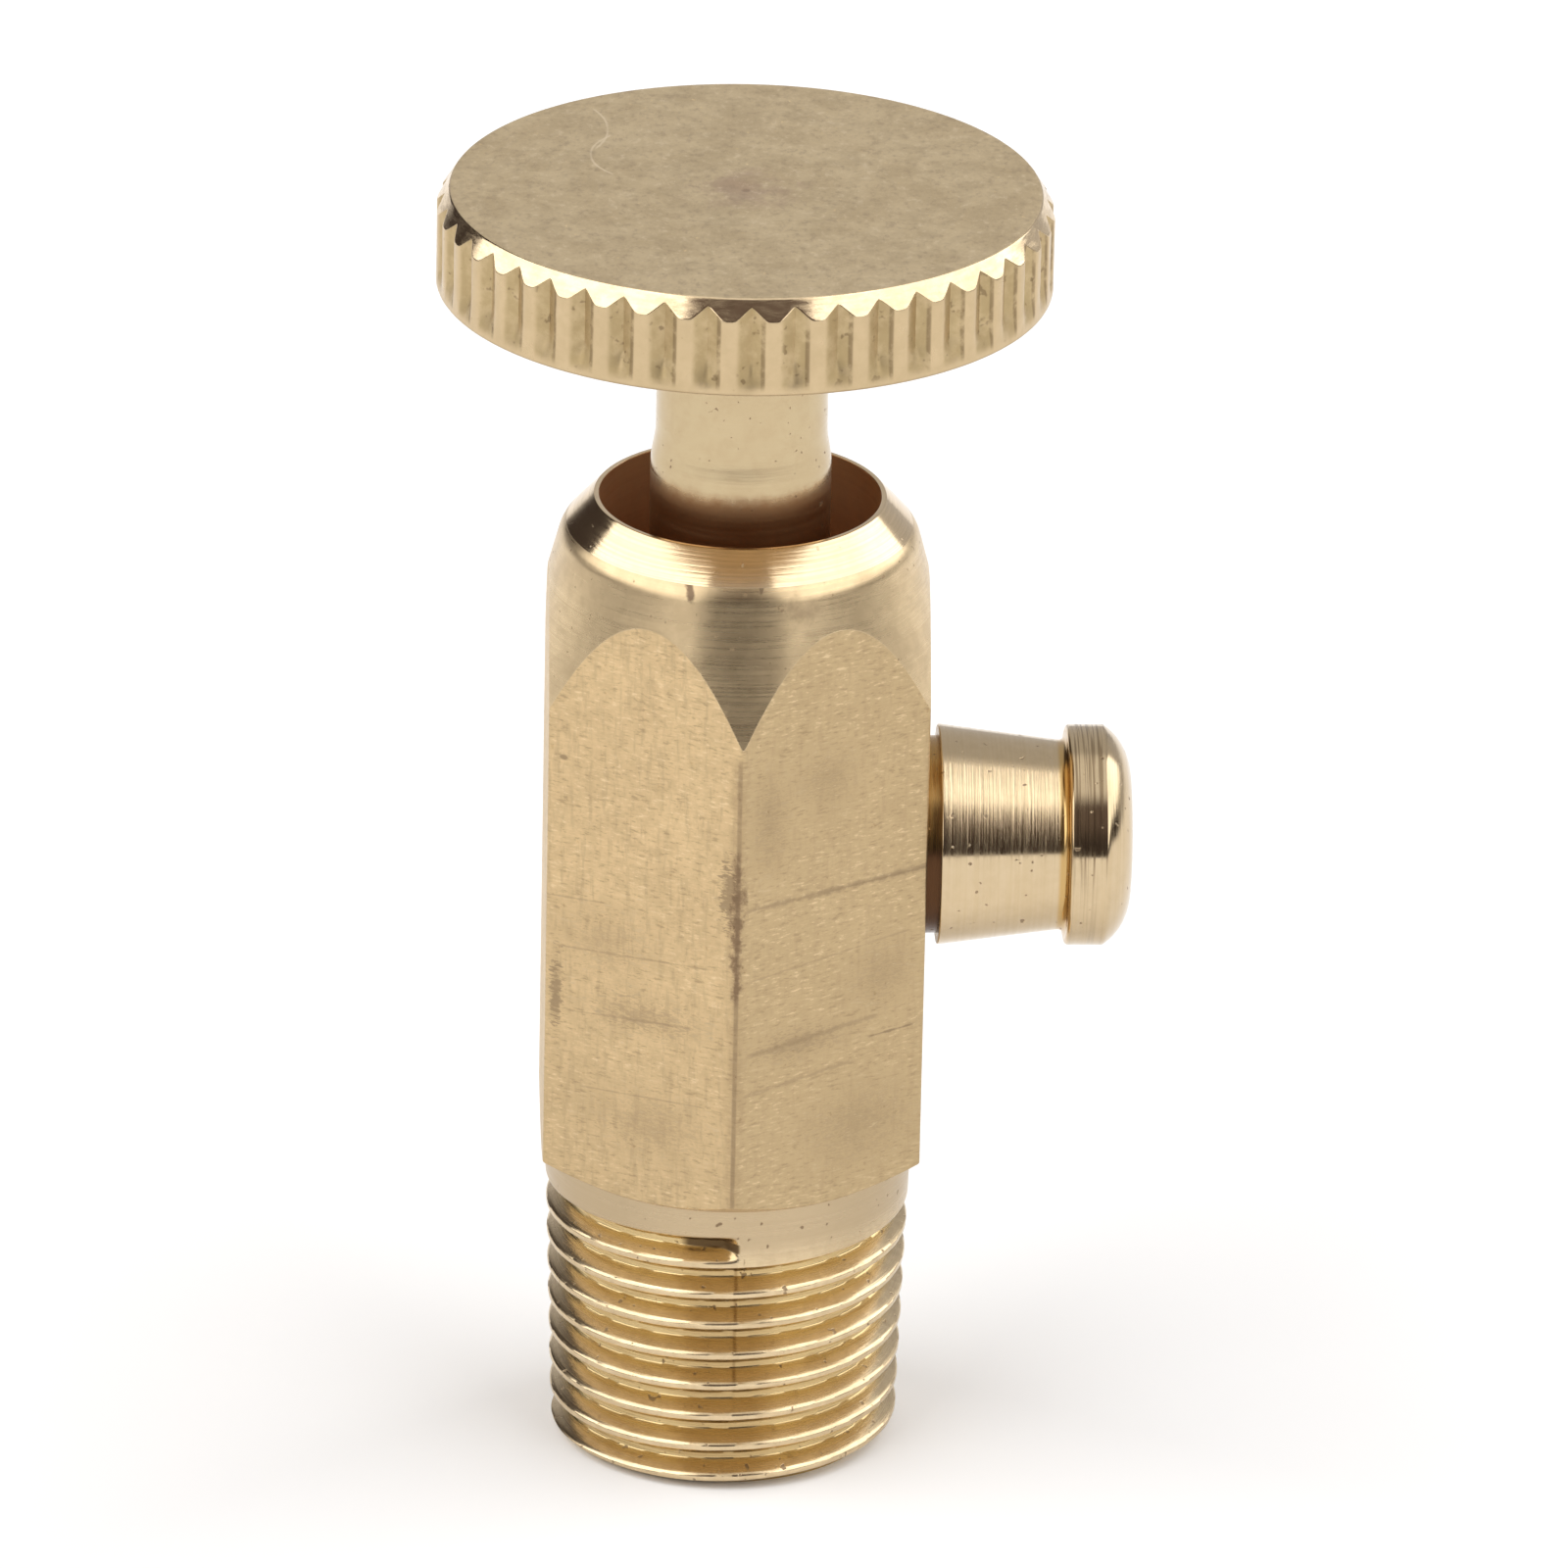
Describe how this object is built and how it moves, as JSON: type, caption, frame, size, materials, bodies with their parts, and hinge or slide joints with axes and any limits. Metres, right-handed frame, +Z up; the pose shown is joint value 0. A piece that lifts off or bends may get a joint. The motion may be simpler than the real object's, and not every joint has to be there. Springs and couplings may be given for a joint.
{
  "type": "drain valve",
  "caption": "Brass drain valve: hexagon body with taper pipe thread, side hose nipple, and a serrated knob on a spindle that screws down on the seat.",
  "frame": {"origin": "centre of the pipe thread's end face, on the spindle axis", "axes": "+Z up along the spindle towards the knob, +X along the hose nipple"},
  "size_m": [0.0185, 0.016, 0.0353],
  "materials": {
    "body_brass": "drawn hexagon bar, turned shoulder, polished lip and thread, slightly tarnished",
    "nipple_brass": "turned, glossy",
    "spindle_brass": "turned satin with dull marks, polished bevel",
    "seal_rubber": "matt black rubber"
  },
  "bodies": {
    "body": {"valve_body": "body_brass", "drain_nipple": "nipple_brass"},
    "seal": {"stem_seal_ring": "seal_rubber"},
    "spindle": {"knob_spindle": "spindle_brass"}
  },
  "joints": [
    {"name": "spindle_lift", "type": "slide", "parent": "body", "child": "seal", "axis": [0, 0, 1], "range_m": [0, 0.00225]},
    {"name": "spindle_turn", "type": "hinge", "parent": "seal", "child": "spindle", "pos_m": [0, 0, 0.0222], "axis": [0, 0, 1], "range_deg": [0, 810]}
  ],
  "couplings": [
    {"joint": "spindle_lift", "follows": "spindle_turn", "m_per_rad": 0.00015915}
  ]
}
